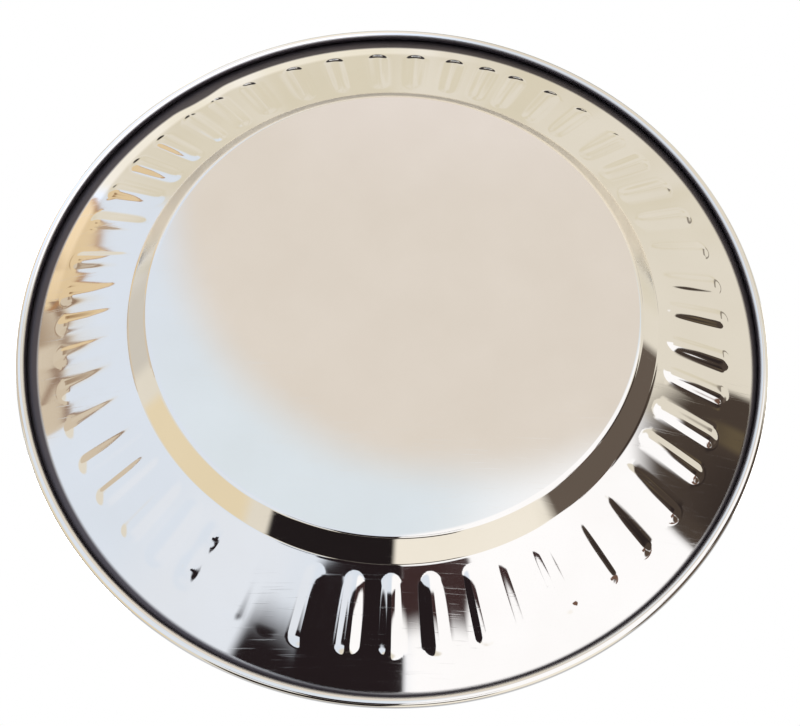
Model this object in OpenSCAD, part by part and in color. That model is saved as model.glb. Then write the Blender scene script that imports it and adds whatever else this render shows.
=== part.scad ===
// A pressed steel thali plate, right side up, standing on the XY plane.
// A flat base rises by a low step into a fluted wall, and the rim curls down around a wire.

/* [Plate] */
// Outside diameter over the curled rim
plate_d = 300; // [280:1:400]
// Diameter of the flat base, at the foot of the step
base_d = 191; // [120:1:200]
// Thickness of the pressed sheet
sheet_t = 0.6; // [0.4:0.1:0.8]
// Height of the step above the base
step_h = 8.9; // [4:0.1:16]
// Slope of the step from level, in degrees
step_slope = 50; // [35:1:70]
// Slope of the wall from level, in degrees
wall_slope = 24.5; // [12:0.5:32]
// Outside radius of the bend between the base and the step
base_bend_r = 2.4; // [1:0.1:4]
// Inside radius of the bend between the step and the wall
wall_bend_r = 2; // [0.5:0.1:4]

/* [Flutes] */
// Number of flutes around the wall
flute_count = 50; // [12:1:60]
// Width of a flute where it is widest
flute_w = 8.8; // [6:0.1:12]
// Depth of a flute where it is deepest
flute_depth = 0.6; // [0.4:0.05:1.6]
// Plain wall between the step and the flutes
flute_start_gap = 3; // [2:0.5:10]
// Plain wall between the flutes and the rim
flute_end_gap = 14.5; // [6:0.5:18]

/* [Rim] */
// Outside diameter of the curled bead
bead_d = 4.2; // [3:0.1:7]
// Gap between the raw edge of the curl and the wall
edge_gap = 0.2; // [0.1:0.05:0.4]
// Room between the curl and the wire in it
wire_gap = 0.1; // [0.05:0.05:0.2]

/* [Hidden] */
// Facets of a drawn circle
$fn = 120;
// Straight steps in each bend of the sheet
bend_steps = 6;
// Places along a flute from its inner to its outer end, with its width and depth there
place_shares = [0.07, 0.28, 0.58, 0.87, 0.965];
width_shares = [0.5, 0.72, 0.9, 1, 0.6];
depth_shares = [0.5, 0.8, 1, 1, 0.6];
// Places across a flute, from one edge to the other
across_shares = [-1, -0.5, 0, 0.5, 1];

// Foot of the wall, on the underside of the sheet
wall_foot = [base_d / 2 + step_h / tan(step_slope), step_h];
// Radii of the curl, outside and inside
bead_r = bead_d / 2;
curl_r = bead_r - sheet_t;
// Where the underside of the wall runs into the curl, and the middle of the bead
bead_x = plate_d / 2 - bead_r;
curl_x = bead_x - curl_r * sin(wall_slope);
wall_end = [curl_x, wall_foot.y + (curl_x - wall_foot.x) * tan(wall_slope)];
bead_mid = wall_end - curl_r * square_to(wall_slope);
// Length of the wall along its slope
wall_len = norm(wall_end - wall_foot);
// Part of the turn that the curl leaves open, so that its raw edge clears the wall
curl_open = acos((curl_r - edge_gap) / bead_r);

// Where a flute starts along the wall, and its length
flute_start = flute_start_gap;
flute_len = wall_len - flute_start_gap - flute_end_gap;
// How far a flute's punch reaches back past the surface that it presses
punch_over = sheet_t / 2;

// Unit vectors along a slope and square to it
function along(slope) = [cos(slope), sin(slope)];
function square_to(slope) = [-sin(slope), cos(slope)];

// Points of a bend of radius r at a corner of the underside, drawn at height d in the sheet
function bend(corner, slope_a, slope_b, r, d) =
  let (
    turn = sign(slope_b - slope_a),
    start = corner - r * tan(abs(slope_b - slope_a) / 2) * along(slope_a),
    mid = start + turn * r * square_to(slope_a)
  )
  [for (i = [0:bend_steps]) mid - (turn * r - d) * square_to(slope_a + (slope_b - slope_a) * i / bend_steps)];

// Line from the middle of the base to the rim, at height d in the sheet
function sheet_line(d) = concat(
  [[0, d]],
  bend([base_d / 2, 0], 0, step_slope, base_bend_r, d),
  bend(wall_foot, step_slope, wall_slope, wall_bend_r, d),
  [wall_end + d * square_to(wall_slope)]
);

function reversed(points) = [for (i = [len(points) - 1:-1:0]) points[i]];

// Section of the sheet, with a tongue that laps into the curl
module sheet_section() {
  tongue = wall_end + sheet_t / 2 * (square_to(wall_slope) + along(wall_slope));
  polygon(concat(sheet_line(0), [tongue], reversed(sheet_line(sheet_t))));
}

// Section of the curled edge, open toward the wall
module curl_section() {
  translate(bead_mid)
    difference() {
      circle(bead_r);
      circle(curl_r);
      polygon([[0, 0], bead_d * along(90 + wall_slope), bead_d * along(90 + wall_slope + curl_open)]);
    }
}

// Half the width that the punch has at its lid, from the flute's half width and depth
function lid_half(half, depth) = half * sqrt((depth + punch_over) / depth);

// Row of points across a flute, at one place along it
function punch_row(i) =
  let (
    x = flute_start + flute_len * place_shares[i],
    depth = flute_depth * depth_shares[i],
    half = lid_half(flute_w / 2 * width_shares[i], depth)
  )
  [for (c = across_shares) [x, c * half, punch_over - (depth + punch_over) * (1 - c * c)]];

// One flute's punch: a parabola across, lying along the wall, with a flat lid
module punch() {
  rows = len(place_shares);
  cols = len(across_shares);
  last = 1 + rows * cols;
  points = concat(
    [[flute_start, 0, punch_over]],
    [for (i = [0:rows - 1]) each punch_row(i)],
    [[flute_start + flute_len, 0, punch_over]]
  );
  start_fan = [for (j = [0:cols - 2]) [0, 1 + j, 2 + j]];
  skin = [
    for (i = [0:rows - 2], j = [0:cols - 2])
      let (k = 1 + i * cols + j)
      each [[k, k + cols, k + 1], [k + 1, k + cols, k + cols + 1]]
  ];
  end_fan = [for (k = [last - cols:last - 2]) [k, last, k + 1]];
  right_edge = [for (i = [1:rows]) i * cols];
  left_edge = [for (i = [rows - 1:-1:0]) 1 + i * cols];
  polyhedron(points, concat(start_fan, skin, end_fan, [concat([0], right_edge, [last], left_edge)]));
}

// The ring of punches, pressed from a height above the underside of the wall
module flutes(level) {
  for (i = [0:flute_count - 1])
    rotate((i + 1 / 2) * 360 / flute_count)
      translate([wall_foot.x, 0, wall_foot.y])
        rotate([0, -wall_slope, 0])
          translate([0, 0, level]) punch();
}

// The pressed sheet: base, step, fluted wall and curled rim in one piece
module pressed_plate() {
  color("silver")
    difference() {
      union() {
        rotate_extrude() {
          sheet_section();
          curl_section();
        }
        flutes(0);
      }
      flutes(sheet_t);
    }
}

// The wire that the rim is curled around
module rim_wire() {
  color("slategray")
    rotate_extrude()
      translate(bead_mid) circle(curl_r - wire_gap);
}

pressed_plate();
rim_wire();
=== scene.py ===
import math

import bpy
from mathutils import Matrix, Vector


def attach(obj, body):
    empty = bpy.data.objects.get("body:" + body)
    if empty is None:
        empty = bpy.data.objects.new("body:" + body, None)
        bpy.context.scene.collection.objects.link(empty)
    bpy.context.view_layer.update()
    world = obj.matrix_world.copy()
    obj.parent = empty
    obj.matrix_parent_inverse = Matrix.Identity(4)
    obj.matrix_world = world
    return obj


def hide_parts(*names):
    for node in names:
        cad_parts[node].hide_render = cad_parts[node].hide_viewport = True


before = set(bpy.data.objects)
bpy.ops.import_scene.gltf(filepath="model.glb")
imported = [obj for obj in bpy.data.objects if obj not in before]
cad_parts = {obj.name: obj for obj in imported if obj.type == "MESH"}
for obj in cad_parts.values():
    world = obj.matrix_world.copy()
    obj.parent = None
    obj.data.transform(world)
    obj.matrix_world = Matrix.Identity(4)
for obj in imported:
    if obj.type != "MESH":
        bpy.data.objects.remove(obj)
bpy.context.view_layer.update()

# A thali plate pressed from thin stainless sheet, right side up, seen from underneath.
# Sizes are the plate's own, in millimetres and degrees, as in the part's source.

MM = 0.001

PLATE_D = 300
BASE_D = 191
SHEET_T = 0.6
STEP_H = 8.9
STEP_SLOPE = 50
WALL_SLOPE = 24.5
BASE_BEND_R = 2.4
WALL_BEND_R = 2
BEAD_D = 4.2
EDGE_GAP = 0.2

FLUTE_W = 9.4
FLUTE_DEPTH = 0.6
FLUTE_INNER_R = 106
FLUTE_OUTER_R = 134


def linear(colour):
    """sRGB hex to the linear colour that a shader takes."""
    channels = [int(colour[i : i + 2], 16) / 255 for i in (1, 3, 5)]
    return tuple(c / 12.92 if c <= 0.04045 else ((c + 0.055) / 1.055) ** 2.4 for c in channels) + (1.0,)


# Settings of a Map Range node that fades smoothly from the first of its two bounds to the second
SOFT = {"interpolation_type": "SMOOTHSTEP"}


def shown_output(node):
    """The first output that a node shows under its settings."""
    return next(output for output in node.outputs if output.enabled)


def add(tree, kind, inputs=(), **settings):
    """Adds one node, with its settings, its constants and its links.

    Inputs go by name, or in the order in which the node shows them. A node given as an input stands
    for its shown output.
    """
    node = tree.nodes.new(kind)
    for name, value in settings.items():
        setattr(node, name, value)
    shown = [socket for socket in node.inputs if socket.enabled]
    named = inputs.items() if isinstance(inputs, dict) else enumerate(inputs)
    for key, value in named:
        socket = node.inputs[key] if isinstance(key, str) else shown[key]
        if isinstance(value, bpy.types.Node):
            value = shown_output(value)
        if isinstance(value, bpy.types.NodeSocket):
            tree.links.new(value, socket)
        else:
            socket.default_value = value
    return node


# Camera: 600 mm from the middle of the plate, looking up at its underside

IMAGE_W = 800
IMAGE_H = 726
SENSOR_W = 36
LENS = 67.42
CAMERA_AWAY = 600
CAMERA_TILT = 26.79
CAMERA_ROLL = 1.95
# Height of the point that the camera faces, and where that point falls in the image, in pixels
AIM_HEIGHT = 27.3
AIM_X = 393.39
AIM_Y = 331.54


def point_camera():
    tilt = math.radians(CAMERA_TILT)
    roll = math.radians(CAMERA_ROLL)
    across = Vector((1, 0, 0))
    downhill = Vector((0, math.cos(tilt), math.sin(tilt)))
    right = across * math.cos(roll) - downhill * math.sin(roll)
    down = across * math.sin(roll) + downhill * math.cos(roll)
    back = Vector((0, math.sin(tilt), -math.cos(tilt)))
    data = bpy.data.cameras.new("camera")
    data.sensor_width = SENSOR_W
    data.lens = LENS
    data.shift_x = (IMAGE_W / 2 - AIM_X) / IMAGE_W
    data.shift_y = (AIM_Y - IMAGE_H / 2) / IMAGE_W
    data.clip_start = 10 * MM
    camera = bpy.data.objects.new("camera", data)
    turn = Matrix((right, -down, back)).transposed().to_4x4()
    place = Vector((0, 0, AIM_HEIGHT * MM)) + back * CAMERA_AWAY * MM
    camera.matrix_world = Matrix.Translation(place) @ turn
    bpy.context.scene.collection.objects.link(camera)
    bpy.context.scene.camera = camera


point_camera()

# Section of the sheet's underside, as points of radius and height


def along(slope):
    return Vector((math.cos(math.radians(slope)), math.sin(math.radians(slope))))


def square_to(slope):
    return Vector((-math.sin(math.radians(slope)), math.cos(math.radians(slope))))


def bend(corner, slope_a, slope_b, radius, steps):
    """Points round a bend between two slopes."""
    turn = 1 if slope_b > slope_a else -1
    start = corner - along(slope_a) * (radius * math.tan(math.radians(abs(slope_b - slope_a)) / 2))
    mid = start + square_to(slope_a) * (turn * radius)
    slopes = [slope_a + (slope_b - slope_a) * i / steps for i in range(steps + 1)]
    return [mid - square_to(s) * (turn * radius) for s in slopes]


def stretch(a, b, steps):
    """Points along a straight run, without its first."""
    return [a.lerp(b, (i + 1) / steps) for i in range(steps)]


WALL_FOOT = Vector((BASE_D / 2 + STEP_H / math.tan(math.radians(STEP_SLOPE)), STEP_H))
CURL_R = BEAD_D / 2 - SHEET_T
CURL_X = PLATE_D / 2 - BEAD_D / 2 - CURL_R * math.sin(math.radians(WALL_SLOPE))
WALL_END = Vector((CURL_X, WALL_FOOT.y + (CURL_X - WALL_FOOT.x) * math.tan(math.radians(WALL_SLOPE))))
BEAD_MID = WALL_END - square_to(WALL_SLOPE) * CURL_R
# Part of the turn that the curl leaves open, so that its raw edge clears the wall
CURL_OPEN = math.degrees(math.acos((CURL_R - EDGE_GAP) / (BEAD_D / 2)))

# Rings of mesh in the bends and round the curl
BASE_BEND_STEPS = 6
WALL_BEND_STEPS = 4
CURL_STEPS = 14
# How far the flat disc stops short of the base bend
DISC_SHORT = 0.5
# Share of the way from the wall bend to the flutes at which a ring lies
RING_BEFORE_FLUTES = 0.3
# Plain wall with rings as close as a flute's own, past each end of the flutes
FLUTE_MARGIN = 0.6
# Rings of mesh along a flute: over its first millimetres, its body and its last millimetres
INNER_END, INNER_STEPS = 3, 6
BODY_STEPS = 11
OUTER_END, OUTER_STEPS = 4, 11


def wall_at(radius):
    return WALL_FOOT + (WALL_END - WALL_FOOT) * ((radius - WALL_FOOT.x) / (WALL_END.x - WALL_FOOT.x))


start_of_flutes = wall_at(FLUTE_INNER_R - FLUTE_MARGIN)
end_of_flutes = wall_at(FLUTE_OUTER_R + FLUTE_MARGIN)


def sheet_rings():
    """The rings of mesh, from the edge of the flat disc to the raw edge of the curl."""
    base_bend = bend(Vector((BASE_D / 2, 0)), 0, STEP_SLOPE, BASE_BEND_R, BASE_BEND_STEPS)
    wall_bend = bend(WALL_FOOT, STEP_SLOPE, WALL_SLOPE, WALL_BEND_R, WALL_BEND_STEPS)
    rings = [base_bend[0] - Vector((DISC_SHORT, 0)), *base_bend, *wall_bend]
    rings += [wall_bend[-1].lerp(start_of_flutes, RING_BEFORE_FLUTES), start_of_flutes]
    rings += stretch(start_of_flutes, wall_at(FLUTE_INNER_R + INNER_END), INNER_STEPS)
    rings += stretch(rings[-1], wall_at(FLUTE_OUTER_R - OUTER_END), BODY_STEPS)
    rings += stretch(rings[-1], end_of_flutes, OUTER_STEPS)
    # One ring is 1 mm past the flutes, and one 1 mm short of the curl
    rings += [end_of_flutes + along(WALL_SLOPE), WALL_END - along(WALL_SLOPE), WALL_END]
    turns = [(360 - CURL_OPEN) * (i + 1) / CURL_STEPS for i in range(CURL_STEPS)]
    return rings + [BEAD_MID + along(90 + WALL_SLOPE - turn) * CURL_R for turn in turns]


def draw_sheet(name, columns):
    """A disc whose edge is drawn out ring by ring, as a sheet is drawn over a former."""
    rings = sheet_rings()
    bpy.ops.object.select_all(action="DESELECT")
    bpy.ops.mesh.primitive_circle_add(
        vertices=columns, radius=rings[0].x * MM, fill_type="NGON", location=(0, 0, rings[0].y * MM)
    )
    sheet = bpy.context.object
    sheet.name = name
    bpy.ops.object.transform_apply(location=True, rotation=True, scale=True)
    bpy.ops.object.mode_set(mode="EDIT")
    bpy.ops.mesh.select_mode(type="EDGE")
    bpy.ops.mesh.select_all(action="SELECT")
    bpy.ops.mesh.region_to_loop()
    for a, b in zip(rings, rings[1:]):
        bpy.ops.mesh.extrude_region_move(TRANSFORM_OT_translate={"value": (0, 0, (b.y - a.y) * MM)})
        bpy.ops.transform.resize(value=(b.x / a.x, b.x / a.x, 1), center_override=(0, 0, 0))
    bpy.ops.object.mode_set(mode="OBJECT")
    return sheet


# Where each flute of the photographed plate stands, in degrees round it: the press left them uneven
FLUTE_PLACES = [
    4.6, 11.5, 19.8, 26.9, 35.2, 43.5, 51.2, 59.2, 66.2, 73.3, 81.3, 88.8, 95.7, 103.3, 108.8, 115,
    124.4, 130.4, 136.7, 144.1, 150.7, 157.9, 165.1, 171.6, 177.7, 183.4, 190.8, 199.3, 206.7, 213.4,
    220, 226.9, 232.9, 239.6, 248.8, 256.8, 265.2, 272.5, 280, 286.5, 292.3, 299.6, 306.5, 314.8,
    321.3, 328, 335.3, 342.8, 350, 356.7,
]
NEXT_PLACES = FLUTE_PLACES[1:] + [FLUTE_PLACES[0] + 360]
# Their depth is uneven too: middle and spread in degrees round the plate, and how much deeper or
# fainter the flutes there are, as a share of the usual depth
UNEVEN = [
    (10, 10, 0.75),
    (25, 8, 0.2),
    (51.2, 3, -0.1),
    (66.5, 4, -0.42),
    (111.5, 7.5, -1.1),
    (124.4, 2, -0.25),
    (128, 7, -0.3),
    (170, 24, -0.5),
]
# Small bumps in the metal beside a flute: angle, radius and height
BUMPS = [(124.4, 112.5, 0.52), (124.9, 125.5, 0.52), (131, 110.5, 0.08)]
BUMP_SPREAD = 2.6

# Columns of mesh round the sheet for each flute, and how many of them lie on the flute
COLUMNS_PER_FLUTE = 16
COLUMNS_ON_FLUTE = 12
# How far a ring may be off its radius and still count as on the flutes
RING_SLACK = 0.1
# Points closer than this, in metres, are one, and edges that turn less than this angle look smooth
SAME_POINT = 1e-6
SMOOTH_ANGLE = 40

# Along the wall, a flute is its nose, its body and a round cap; its run is all but the cap
FLUTE_LEN = (FLUTE_OUTER_R - FLUTE_INNER_R) / math.cos(math.radians(WALL_SLOPE))
FLUTE_HALF = FLUTE_W / 2
CAP = FLUTE_HALF
NOSE = FLUTE_HALF * 0.9
FLUTE_RUN = FLUTE_LEN - CAP
# Share of its full width and depth that a flute has at its inner end
INNER_WIDTH = 0.75
INNER_DEPTH = 0.6
# Share of the run over which it gets its full depth
DEEPENING = 0.6
# How quickly it widens, and how softly its flanks run out into the wall
WIDENING_POWER = 0.8
FLANK_POWER = 1.5


def share_of_run(down):
    return min(max(down / FLUTE_RUN, 0), 1)


def half_width(down):
    """Half the width of a flute at a place along it: it widens outward."""
    return FLUTE_HALF * (INNER_WIDTH + (1 - INNER_WIDTH) * share_of_run(down) ** WIDENING_POWER)


def flute_height(down, across):
    """Height of a flute at a place along and across it: a capsule that deepens outward."""
    half = half_width(down)
    if down < NOSE:
        off = math.hypot(across / half, 1 - down / NOSE)
    elif down > FLUTE_RUN:
        off = math.hypot((down - FLUTE_RUN) / CAP, across / FLUTE_HALF)
    else:
        off = abs(across) / half
    deepening = math.sin(min(share_of_run(down) / DEEPENING, 1) * math.pi / 2)
    depth = FLUTE_DEPTH * (INNER_DEPTH + (1 - INNER_DEPTH) * deepening)
    return depth * max(0, 1 - off * off) ** FLANK_POWER


def strength(angle):
    """How far a flute is pressed, against the usual depth."""
    total = 1
    for middle, spread, more in UNEVEN:
        away = (angle - middle + 180) % 360 - 180
        total += more * math.exp(-((away / spread) ** 2))
    return total


def bump_height(angle, radius):
    total = 0
    for middle, ring, height in BUMPS:
        away = math.hypot(radius - ring, math.radians(angle - middle) * radius)
        total += height * math.exp(-((away / BUMP_SPREAD) ** 2))
    return total


def column_angle(flute, column, half):
    """Angle of a column of mesh: columns draw together on a flute, which reaches half to each side."""
    if column <= COLUMNS_ON_FLUTE:
        return FLUTE_PLACES[flute] + half * (2 * column / COLUMNS_ON_FLUTE - 1)
    share = (column - COLUMNS_ON_FLUTE) / (COLUMNS_PER_FLUTE - COLUMNS_ON_FLUTE)
    return (FLUTE_PLACES[flute] + half) * (1 - share) + (NEXT_PLACES[flute] - half) * share


def press_flutes(mesh):
    """Presses the flutes as their die does, out through the wall to its underside."""
    outward = -square_to(WALL_SLOPE)
    innermost = start_of_flutes.x - RING_SLACK
    outermost = end_of_flutes.x + RING_SLACK
    for vertex in mesh.vertices:
        radius = vertex.co.xy.length / MM
        turned = math.degrees(math.atan2(vertex.co.y, vertex.co.x)) % 360 / 360
        counted = round(turned * len(FLUTE_PLACES) * COLUMNS_PER_FLUTE)
        flute, column = divmod(counted, COLUMNS_PER_FLUTE)
        flute %= len(FLUTE_PLACES)
        down = (radius - FLUTE_INNER_R) / math.cos(math.radians(WALL_SLOPE))
        half = math.degrees(half_width(down) / max(innermost, radius))
        angle = column_angle(flute, column, half)
        push = Vector((0, 0))
        if column <= COLUMNS_ON_FLUTE and innermost < radius < outermost:
            place = FLUTE_PLACES[flute]
            height = flute_height(down, math.radians(angle - place) * radius) * strength(place)
            push = outward * (height + bump_height(angle, radius))
        unit = along(angle)
        radius += push.x
        vertex.co = Vector((unit.x * radius * MM, unit.y * radius * MM, vertex.co.z + push.y * MM))


def press_plate():
    """The sheet: drawn over the former, fluted and given its thickness."""
    plate = draw_sheet("steel_plate", len(FLUTE_PLACES) * COLUMNS_PER_FLUTE)
    press_flutes(plate.data)
    bpy.ops.object.mode_set(mode="EDIT")
    bpy.ops.mesh.select_all(action="SELECT")
    bpy.ops.mesh.remove_doubles(threshold=SAME_POINT)
    bpy.ops.mesh.normals_make_consistent(inside=False)
    bpy.ops.object.mode_set(mode="OBJECT")
    # The drawn side is the underside, so its faces look down
    disc = max(plate.data.polygons, key=lambda face: face.area)
    if disc.normal.z > 0:
        bpy.ops.object.mode_set(mode="EDIT")
        bpy.ops.mesh.flip_normals()
        bpy.ops.object.mode_set(mode="OBJECT")
    thicken = plate.modifiers.new("sheet", "SOLIDIFY")
    thicken.thickness = SHEET_T * MM
    thicken.offset = -1
    thicken.use_even_offset = True
    bpy.ops.object.modifier_apply(modifier=thicken.name)
    bpy.ops.object.shade_smooth_by_angle(angle=math.radians(SMOOTH_ANGLE))
    return plate


plate = press_plate()
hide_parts("pressed_plate")
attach(plate, "root")


# Mirror polished stainless steel, pressed and then buffed: it gives back its surroundings as clear
# shapes, a little softened, with fine wiping scratches that catch the light. The buffing wheel
# doesn't reach into the groove behind the curled rim, which stays dull from the press; its dark
# colour is painted shade and dark reflection.

# Each pair below gives where a change of finish or of painted light starts and where it is complete,
# in millimetres. The groove is on the bead's inner half and on the wall's underside, within the bead's
# round or within a strip on the wall, and is painted dark there as shade and dark reflection.
BEAD_INNER_HALF = (0.5, -0.4)
UNDERSIDE = (1.85, 1.7)
WALL_SIDE = (-1.5, -0.5)
BEAD_ROUND = (2.7, 2.2)
GROOVE_PAINTED_SHADE_TONE = "#5C575B"
GROOVE_ROUGHNESS = 0.42
# The strip is 1 to 7 mm wide; it is dull, and painted dark as the shade and dark reflection beside the
# rim. It starts about this far from the axis, leans to one side of the plate, and is widest beside a
# dent.
STRIP_START = 141.1
STRIP_LEAN = (1.2, 2.7, 0)
STRIP_EDGE = (0, 1.6)
DENT = (-87, -108, 0)
DENT_REACH = (14, 2)
DENT_WIDENS = 1.6
# A paler band inside that strip is a painted highlight, strongest where the plate faces this
# way: the second pair is the cosine of the turn from there
BAND_EDGE = (-5.5, -3)
BAND_SIDE = (-0.62, -0.79, 0)
BAND_FACING = (0.55, 0.9)
PAINTED_HIGHLIGHT_TONE = "#F4F5F9"
# On the far side the step and its two bends keep the dull finish of the die, and their paler tone
# is a painted sheen: the third pair is the cosine of the turn from the near side
SATIN_AND_SHEEN_INNER_EDGE = (94.3, 95.1)
SATIN_AND_SHEEN_OUTER_EDGE = (104, 103)
SATIN_AND_SHEEN_FACING = (-0.1, -0.35)
PAINTED_SHEEN_TONE = "#EFE9E0"
SATIN_ROUGHNESS = 0.5
# Faint cloudiness of the buffing, 30 mm across, in tone and in roughness: its pair is of the noise
CLOUD_SIZE = 30
CLOUD_TONES = ("#D9D7D3", "#E1E0DE")
CLOUD_EDGE = (0.3, 0.7)
CLOUD_ROUGHNESS = (0.02, 0.045)
# Long wiping scratches, 0.6 mm wide and 20 mm long, wider than the real ones so that they show. They
# cross two ways, turned by these angles in radians, and show where their noise passes its pair.
HAIR_LEN = 20
HAIR_THINNER = 32
HAIR_TURNS = (0.5, -0.9)
HAIR_EDGE = (0.66, 0.74)
HAIR_ROUGHNESS = 0.05
HAIR_DEPTH = 0.0006
# The sheet isn't quite flat: it has gentle waves, 80 mm long
WAVE_LEN = 80
WAVE_DEPTH = 0.12


def past_strip_edge(tree, flat, radius):
    """How far a place lies outside the inner edge of the strip of painted shade."""
    lean = add(tree, "ShaderNodeVectorMath", [flat, STRIP_LEAN], operation="DOT_PRODUCT")
    lean = add(tree, "ShaderNodeMath", [lean, radius], operation="DIVIDE")
    dent = add(tree, "ShaderNodeVectorMath", [flat, DENT], operation="DISTANCE")
    dent = add(tree, "ShaderNodeMapRange", [dent, *DENT_REACH, 0, DENT_WIDENS], **SOFT)
    start = add(tree, "ShaderNodeMath", [lean, STRIP_START], operation="ADD")
    start = add(tree, "ShaderNodeMath", [start, dent], operation="SUBTRACT")
    return add(tree, "ShaderNodeMath", [radius, start], operation="SUBTRACT")


def groove_behind_rim(tree, radius, height, past_edge):
    """Mask of the groove between the wall and the curled rim: dull, and painted dark as shade and
    reflection.
    """
    section = add(tree, "ShaderNodeCombineXYZ", [radius, height])
    from_mid = add(tree, "ShaderNodeVectorMath", [section, (*BEAD_MID, 0)], operation="SUBTRACT")
    away = add(tree, "ShaderNodeVectorMath", [from_mid], operation="LENGTH")
    outward = add(tree, "ShaderNodeSeparateXYZ", [from_mid]).outputs["X"]
    wall_way = (*square_to(WALL_SLOPE), 0)
    wallward = add(tree, "ShaderNodeVectorMath", [from_mid, wall_way], operation="DOT_PRODUCT")
    inner_half = add(tree, "ShaderNodeMapRange", [outward, *BEAD_INNER_HALF], **SOFT)
    underside = add(tree, "ShaderNodeMapRange", [wallward, *UNDERSIDE], **SOFT)
    wall_side = add(tree, "ShaderNodeMapRange", [wallward, *WALL_SIDE], **SOFT)
    bead_round = add(tree, "ShaderNodeMapRange", [away, *BEAD_ROUND], **SOFT)
    strip = add(tree, "ShaderNodeMapRange", [past_edge, *STRIP_EDGE], **SOFT)
    groove = add(tree, "ShaderNodeMath", [bead_round, strip], operation="MAXIMUM")
    for limit in (inner_half, underside, wall_side):
        groove = add(tree, "ShaderNodeMath", [groove, limit], operation="MULTIPLY")
    return groove


def painted_highlight_band(tree, flat, radius, past_edge):
    """Mask of the pale band of painted highlight beside the rim."""
    facing = add(tree, "ShaderNodeVectorMath", [flat, BAND_SIDE], operation="DOT_PRODUCT")
    facing = add(tree, "ShaderNodeMath", [facing, radius], operation="DIVIDE")
    facing = add(tree, "ShaderNodeMapRange", [facing, *BAND_FACING], **SOFT)
    band = add(tree, "ShaderNodeMapRange", [past_edge, *BAND_EDGE], **SOFT)
    return add(tree, "ShaderNodeMath", [band, facing], operation="MULTIPLY")


def satin_and_painted_sheen(tree, near, radius):
    """Mask of the die's dull finish and the painted sheen on the step's far side."""
    satin_and_sheen = add(tree, "ShaderNodeMath", [near, radius], operation="DIVIDE")
    satin_and_sheen = add(tree, "ShaderNodeMapRange", [satin_and_sheen, *SATIN_AND_SHEEN_FACING], **SOFT)
    for edge in (SATIN_AND_SHEEN_INNER_EDGE, SATIN_AND_SHEEN_OUTER_EDGE):
        ring = add(tree, "ShaderNodeMapRange", [radius, *edge], **SOFT)
        satin_and_sheen = add(tree, "ShaderNodeMath", [satin_and_sheen, ring], operation="MULTIPLY")
    return satin_and_sheen


def wiping_scratches(tree, place, turn):
    """Mask of long fine scratches that run one way."""
    laid = {"Vector": place, "Rotation": (0, 0, turn), "Scale": (1, HAIR_THINNER, 1)}
    laid = add(tree, "ShaderNodeMapping", laid)
    hair = add(tree, "ShaderNodeTexNoise", {"Vector": laid, "Scale": 1 / HAIR_LEN, "Detail": 1})
    return add(tree, "ShaderNodeMapRange", [hair, *HAIR_EDGE], **SOFT)


def steel_colour(tree, cloud, band, satin_and_sheen, groove):
    """The buffed steel's tone, with the band of painted highlight, the painted sheen and the groove's
    painted shade laid over it.
    """
    buffed = [cloud, *(linear(tone) for tone in CLOUD_TONES)]
    colour = add(tree, "ShaderNodeMix", buffed, data_type="RGBA")
    for mask, tone in ((band, PAINTED_HIGHLIGHT_TONE), (satin_and_sheen, PAINTED_SHEEN_TONE), (groove, GROOVE_PAINTED_SHADE_TONE)):
        colour = add(tree, "ShaderNodeMix", [mask, colour, linear(tone)], data_type="RGBA")
    return colour


def steel_roughness(tree, cloud, scratches, groove, satin_and_sheen):
    """The buffed steel's roughness, a little more in its scratches, and dull in the groove and on the
    step's far side.
    """
    buffed = add(tree, "ShaderNodeMapRange", [cloud, *CLOUD_EDGE, *CLOUD_ROUGHNESS], **SOFT)
    scratched = add(tree, "ShaderNodeMath", [scratches, HAIR_ROUGHNESS], operation="MULTIPLY")
    roughness = add(tree, "ShaderNodeMath", [buffed, scratched], operation="ADD")
    for mask, dull in ((groove, GROOVE_ROUGHNESS), (satin_and_sheen, SATIN_ROUGHNESS)):
        roughness = add(tree, "ShaderNodeMix", [mask, roughness, dull])
    return roughness


def steel_relief(tree, place, scratches):
    """The waves of the sheet, with the scratches cut into them."""
    waves = add(tree, "ShaderNodeTexNoise", {"Vector": place, "Scale": 1 / WAVE_LEN, "Detail": 1})
    relief = add(tree, "ShaderNodeBump", {"Strength": 1, "Distance": WAVE_DEPTH * MM, "Height": waves})
    fine = {"Strength": 1, "Distance": HAIR_DEPTH * MM, "Height": scratches, "Normal": relief}
    return add(tree, "ShaderNodeBump", fine)


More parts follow.
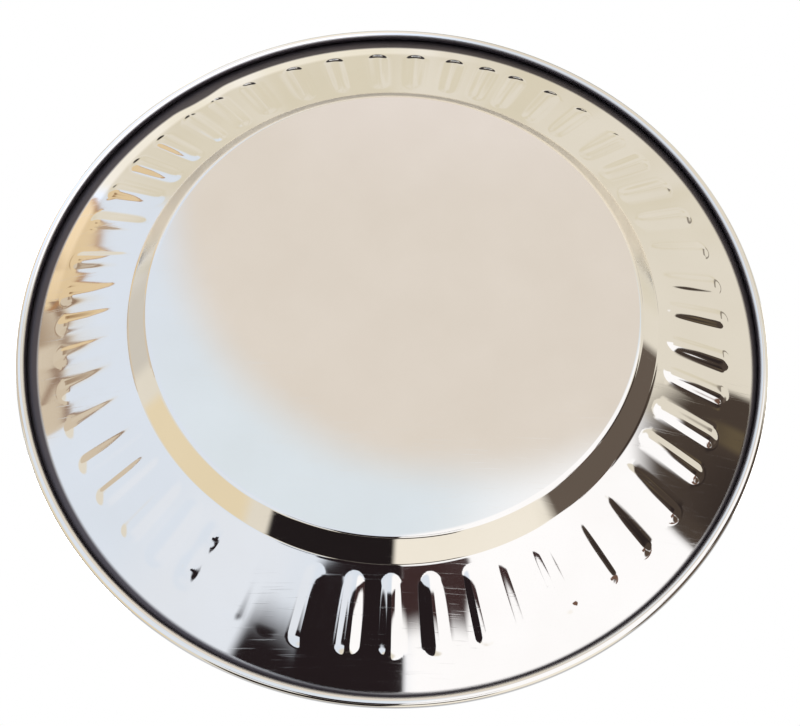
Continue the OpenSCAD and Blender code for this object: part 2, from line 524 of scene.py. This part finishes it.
def polished_steel():
    material = bpy.data.materials.new("mirror_polished_stainless_steel")
    material.use_nodes = True
    tree = material.node_tree
    shader = tree.nodes["Principled BSDF"]
    shader.inputs["Metallic"].default_value = 1

    # Places on the plate, in millimetres
    place = add(tree, "ShaderNodeTexCoord").outputs["Object"]
    place = add(tree, "ShaderNodeVectorMath", [place, 1 / MM], operation="SCALE")
    right, near, height = add(tree, "ShaderNodeSeparateXYZ", [place]).outputs
    flat = add(tree, "ShaderNodeCombineXYZ", [right, near])
    radius = add(tree, "ShaderNodeVectorMath", [flat], operation="LENGTH")

    past_edge = past_strip_edge(tree, flat, radius)
    # The groove is dull, and its colour is painted shade and dark reflection
    groove = groove_behind_rim(tree, radius, height, past_edge)
    # A pale band of painted highlight beside the rim, on one side of the plate
    band = painted_highlight_band(tree, flat, radius, past_edge)
    # The step's far side is dull, with a painted sheen
    satin_and_sheen = satin_and_painted_sheen(tree, near, radius)
    cloud = add(tree, "ShaderNodeTexNoise", {"Vector": place, "Scale": 1 / CLOUD_SIZE, "Detail": 3})
    hair = [wiping_scratches(tree, place, turn) for turn in HAIR_TURNS]
    scratches = add(tree, "ShaderNodeMath", hair, operation="MAXIMUM")

    colour = steel_colour(tree, cloud, band, satin_and_sheen, groove)
    roughness = steel_roughness(tree, cloud, scratches, groove, satin_and_sheen)
    relief = steel_relief(tree, place, scratches)
    tree.links.new(shown_output(colour), shader.inputs["Base Color"])
    tree.links.new(shown_output(roughness), shader.inputs["Roughness"])
    tree.links.new(shown_output(relief), shader.inputs["Normal"])
    return material


def drawn_wire():
    """Plain drawn steel wire, dull grey from the die, seen only where the curl is open."""
    material = bpy.data.materials.new("drawn_steel_wire")
    material.use_nodes = True
    shader = material.node_tree.nodes["Principled BSDF"]
    shader.inputs["Metallic"].default_value = 1
    shader.inputs["Base Color"].default_value = linear("#A9A9AB")
    shader.inputs["Roughness"].default_value = 0.35
    return material


plate.data.materials.clear()
plate.data.materials.append(polished_steel())
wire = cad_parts["rim_wire"]
wire_material = drawn_wire()
for slot in wire.material_slots:
    slot.material = wire_material

# Floor: pale and plain from above. From below it is clear, for the camera and for what it passes on,
# so that the plate's underside is seen and lit.

FLOOR_SIZE = 6
FLOOR_UNDER = 0.3


def pale_paper():
    """Plain pale paper, matt, that light passes through from below."""
    material = bpy.data.materials.new("pale_floor")
    material.use_nodes = True
    tree = material.node_tree
    tree.nodes.clear()
    from_below = add(tree, "ShaderNodeNewGeometry").outputs["Backfacing"]
    passed = add(tree, "ShaderNodeLightPath").outputs["Transparent Depth"]
    passed = add(tree, "ShaderNodeMath", [passed, 0.5], operation="GREATER_THAN")
    clear = add(tree, "ShaderNodeMath", [from_below, passed], operation="MAXIMUM")
    paper = add(tree, "ShaderNodeBsdfDiffuse", {"Color": linear("#EDEDEC")})
    through = add(tree, "ShaderNodeBsdfTransparent")
    surface = add(tree, "ShaderNodeMixShader", [clear, paper, through])
    add(tree, "ShaderNodeOutputMaterial", {"Surface": surface})
    return material


def lay_floor():
    bpy.ops.object.select_all(action="DESELECT")
    bpy.ops.mesh.primitive_plane_add(size=FLOOR_SIZE, location=(0, 0, -FLOOR_UNDER * MM))
    floor = bpy.context.object
    floor.name = "floor"
    bpy.ops.object.transform_apply(location=True, rotation=True, scale=True)
    floor.data.materials.append(pale_paper())


lay_floor()

# What the metal mirrors, painted one over another as soft rounded panels. Directions are laid out
# flat: the middle is straight down (or straight up, for the second list), and a place is its tilt
# from there in degrees, to the right and to the near side. Each panel has its tone as it looks in
# the metal, its middle, its half sizes, its corners' radius, its turn and how soft its edge is.

BELOW = [
    ("cool_light", "#DAE2EE", (-24, -7), (34, 53), 12, 0, 2.5),
    ("pale_light", "#E1E6EF", (-28, 20), (14, 12), 8, 30, 9),
    ("cool_light_middle", "#DAE3EB", (8, -14), (18, 16), 8, 0, 4),
    ("white_light", "#FEFDFF", (35, 14), (32, 38), 8, 0, 3),
    ("cream_light", "#EFE8DB", (36, 74), (36, 22), 12, -35, 6),
    ("warm_light", "#DDD4CA", (2.7, -62), (11.8, 40.5), 11, 0, 1.2),
    ("warm_light_left", "#D8D1BF", (-6, -60), (2.5, 22), 2, 0, 3),
    ("pink_light", "#E4DBD5", (2, -38), (7, 4), 4, 0, 3.5),
    ("warm_far", "#DED7C9", (8, -111), (96, 54), 20, 0, 2),
    ("warm_right", "#DED7C9", (72, -54), (30, 45), 6, 0, 2.5),
    ("grey_wall_left", "#CAC4BA", (-94, -44), (13, 30), 6, 0, 4),
    ("tan_board", "#D0C2AE", (-74.9, -23.5), (17.4, 13), 1, 1, 0.15),
    ("tan_board_near", "#CDBEA9", (-64.9, -14.5), (8, 6.5), 1, -9.4, 0.15),
    ("tan_board_high", "#DEC6A0", (-63.8, -47.4), (10, 12), 1, 18, 0.15),
    ("umber_rail", "#8F7561", (-57.8, -25), (0.15, 10), 0.1, 1, 0.12),
    ("umber_rail_near", "#8A6E5A", (-57.2, -16), (0.15, 5.5), 0.1, -9.4, 0.12),
    ("umber_rail_high", "#A87E58", (-54.3, -44.4), (0.12, 12), 0.1, 18, 0.1),
    ("umber_smear", "#A08A74", (-59.3, -30), (1.1, 4), 1, 0, 0.9),
    ("umber_smear_high", "#9A7B58", (-57.2, -43.5), (0.9, 2.5), 1, 10, 0.9),
    ("tan_foot", "#E2D2B2", (-86, 36), (14, 36), 8, -32, 3),
    ("dark_board", "#221B1D", (-5.6, 42.7), (9.4, 13), 1, 0, 0.5),
    ("dark_board_low", "#221B1D", (-17.4, 33.7), (8.4, 2.3), 2.2, 22, 1.1),
    ("brown_patch", "#3C2B2B", (10.6, 30.6), (7.2, 1.7), 0.8, -9, 0.6),
    ("dark_band", "#2A2426", (-4, 64), (32, 7), 4, 0, 2),
    ("dark_foot", "#1F1A1B", (-24, 78), (27, 16), 6, 10, 1.5),
    ("brown_board", "#463C35", (73.7, -1.1), (22, 14.8), 2, 16.7, 1),
    ("brown_board_core", "#2A2322", (57, -2), (2.5, 7), 2, 21, 2.5),
    ("olive_patch", "#5F5340", (57.6, -12.6), (0.8, 2), 0.8, 10, 0.9),
    ("brown_low", "#54463C", (73, 25), (15.5, 12), 3, 0, 2),
    ("brown_foot", "#61564D", (92, 12), (16, 45), 6, 22, 3),
    ("brown_edge", "#6E5346", (55, 16), (3.5, 7.5), 2, 34, 1),
    ("grey_streak", "#8D857B", (64, -51), (2.5, 14), 2, -5, 1.5),
    ("dark_horizon", "#3A3638", (8, -102), (46, 10), 3, 0, 1.5),
    ("dark_horizon_left", "#3A3638", (-56, -87), (14, 8), 3, -42, 1.5),
]
BELOW_GROUND = "#DED7C9"
ABOVE = [
    ("soft_box", "#FFFFFF", (-30, -40), (34, 26), 10, 30, 9),
    ("low_grey", "#85868A", (70, 30), (22, 60), 16, 20, 12),
    ("grey_left", "#97989C", (-70, 20), (22, 40), 14, 0, 10),
    ("grey_near", "#8B8C90", (5, 66), (40, 14), 10, 0, 8),
]
ABOVE_GROUND = "#C9CACD"
# The first list passes into the second where a direction's rise, up to 1, is between these
BELOW_TO_ABOVE = (0.25, 0.5)
# On the far side the surroundings yellow a little in soft patches, 15 degrees wide, as walls and
# cards do. The pairs give where this starts and is complete, in the noise and toward the far side.
PATCH_TONE = "#F6F4EB"
PATCHES_PER_DEGREE = 0.065
PATCH_EDGE = (0.4, 0.62)
PATCH_FAR = (-46, -62)

# The surroundings are mirrored as bright as this, to make up for what the steel swallows, and all
# that doesn't mirror is lit by a plain white of this strength
MIRRORED_STRENGTH = 1.38
PLAIN_STRENGTH = 0.55


def paint_panel(tree, place, tone, panel):
    """One soft rounded panel, painted over a tone."""
    name, colour, middle, half, corner, turn, soft = panel
    local = {"Vector": place, "Location": (*middle, 0), "Rotation": (0, 0, math.radians(turn))}
    local = add(tree, "ShaderNodeMapping", local, vector_type="TEXTURE")
    local = add(tree, "ShaderNodeVectorMath", [local], operation="ABSOLUTE")
    inner = (half[0] - corner, half[1] - corner, 0)
    past = add(tree, "ShaderNodeVectorMath", [local, inner], operation="SUBTRACT")
    past = add(tree, "ShaderNodeVectorMath", [past, (0, 0, 0)], operation="MAXIMUM")
    off = add(tree, "ShaderNodeVectorMath", [past], operation="LENGTH")
    mask = add(tree, "ShaderNodeMapRange", [off, corner + soft, corner - soft], **SOFT)
    return add(tree, "ShaderNodeMix", [mask, tone, linear(colour)], data_type="RGBA", label=name)


def yellow_far_side(tree, place, tone):
    """A tone yellowed in soft patches on the far side."""
    patches = {"Vector": place, "Scale": PATCHES_PER_DEGREE, "Detail": 2}
    patches = add(tree, "ShaderNodeTexNoise", patches)
    patches = add(tree, "ShaderNodeMapRange", [patches, *PATCH_EDGE], **SOFT)
    near = add(tree, "ShaderNodeSeparateXYZ", [place]).outputs["Y"]
    far_side = add(tree, "ShaderNodeMapRange", [near, *PATCH_FAR], **SOFT)
    patches = add(tree, "ShaderNodeMath", [patches, far_side], operation="MULTIPLY")
    shade = [patches, tone, linear(PATCH_TONE)]
    return add(tree, "ShaderNodeMix", shade, data_type="RGBA", blend_type="MULTIPLY")


def paint_surroundings(tree, level, rise, ground, panels):
    """Lays the directions out flat by their tilt, and paints the panels over the ground."""
    tilt = add(tree, "ShaderNodeMath", [rise], operation="ARCCOSINE")
    tilt = add(tree, "ShaderNodeMath", [tilt, math.degrees(1)], operation="MULTIPLY")
    place = add(tree, "ShaderNodeVectorMath", [level, tilt], operation="SCALE")
    tone = linear(ground)
    for panel in panels:
        tone = paint_panel(tree, place, tone, panel)
    return yellow_far_side(tree, place, tone)


def light_the_world():
    world = bpy.data.worlds.new("surroundings")
    bpy.context.scene.world = world
    world.use_nodes = True
    tree = world.node_tree
    tree.nodes.clear()

    way = add(tree, "ShaderNodeTexCoord").outputs["Generated"]
    right, near, up = add(tree, "ShaderNodeSeparateXYZ", [way]).outputs
    level = add(tree, "ShaderNodeCombineXYZ", [right, near])
    level = add(tree, "ShaderNodeVectorMath", [level], operation="NORMALIZE")
    down = add(tree, "ShaderNodeMath", [up, -1], operation="MULTIPLY")
    below = paint_surroundings(tree, level, down, BELOW_GROUND, BELOW)
    above = paint_surroundings(tree, level, up, ABOVE_GROUND, ABOVE)
    over = add(tree, "ShaderNodeMapRange", [up, *BELOW_TO_ABOVE], **SOFT)
    tone = add(tree, "ShaderNodeMix", [over, below, above], data_type="RGBA")

    path = add(tree, "ShaderNodeLightPath").outputs
    mirrored = add(tree, "ShaderNodeBackground", {"Color": tone, "Strength": MIRRORED_STRENGTH})
    plain = add(tree, "ShaderNodeBackground", {"Color": linear("#FFFFFF"), "Strength": PLAIN_STRENGTH})
    white = add(tree, "ShaderNodeBackground", {"Color": linear("#FFFFFF"), "Strength": 1})
    lit = add(tree, "ShaderNodeMixShader", [path["Is Glossy Ray"], plain, mirrored])
    clear = [path["Is Camera Ray"], path["Is Transmission Ray"]]
    clear = add(tree, "ShaderNodeMath", clear, operation="MAXIMUM")
    seen = add(tree, "ShaderNodeMixShader", [clear, lit, white])
    add(tree, "ShaderNodeOutputWorld", {"Surface": seen})


light_the_world()

# The lamps face the plate's middle
LAMPS_AIM = Vector((0, 0, 20 * MM))


def hang_lamp(name, place, size, power):
    data = bpy.data.lights.new(name, "AREA")
    data.shape = "DISK"
    data.size = size
    data.energy = power
    lamp = bpy.data.objects.new(name, data)
    lamp.location = place
    lamp.rotation_mode = "QUATERNION"
    lamp.rotation_quaternion = (Vector(place) - LAMPS_AIM).to_track_quat("Z", "Y")
    bpy.context.scene.collection.objects.link(lamp)


hang_lamp("soft_top_lamp", place=(-0.5, -0.6, 1.6), size=1.2, power=14)
hang_lamp("soft_side_lamp", place=(1.3, -0.4, 0.9), size=0.9, power=5)

bpy.context.scene.view_settings.view_transform = "Standard"
